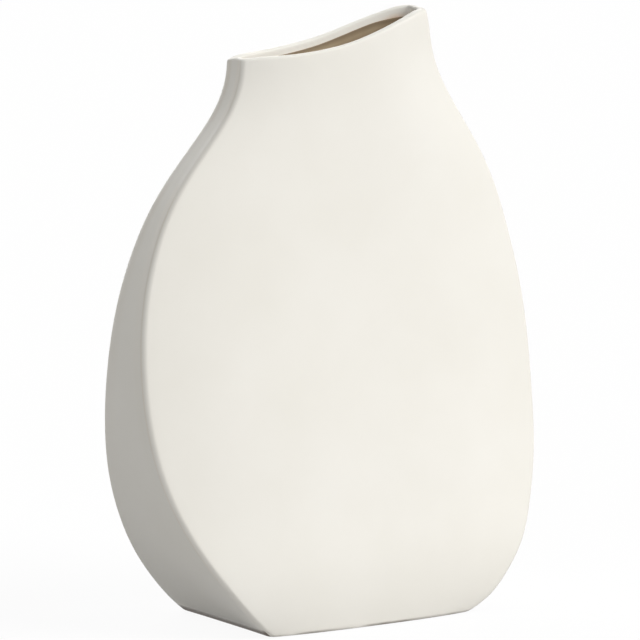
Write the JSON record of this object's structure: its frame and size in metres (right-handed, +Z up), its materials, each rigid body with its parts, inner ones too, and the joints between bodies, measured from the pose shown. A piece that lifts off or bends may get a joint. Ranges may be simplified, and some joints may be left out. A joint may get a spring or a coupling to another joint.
{
  "type": "pillow vase",
  "caption": "Tall flat vase with bowed front and rear panels, side strips that widen to a flat foot, and a rim that rises in one wave from the low side to a soft tip.",
  "frame": {"origin": "on the ground under the middle of the base", "axes": "+Z up, +X to the vase's high rim end, -Y out of the front panel"},
  "size_m": [0.3016, 0.1218, 0.3988],
  "materials": {
    "white_slip": "matte warm white slip on stoneware",
    "raw_clay": "bare fired brown clay",
    "brown_glaze": "thin satin brown glaze"
  },
  "bodies": {
    "root": {"front_slab": "white_slip", "rear_slab": "white_slip", "left_side_strip": "white_slip", "right_side_strip": "white_slip", "base_slab": "raw_clay", "inner_glaze": "brown_glaze"}
  },
  "joints": []
}
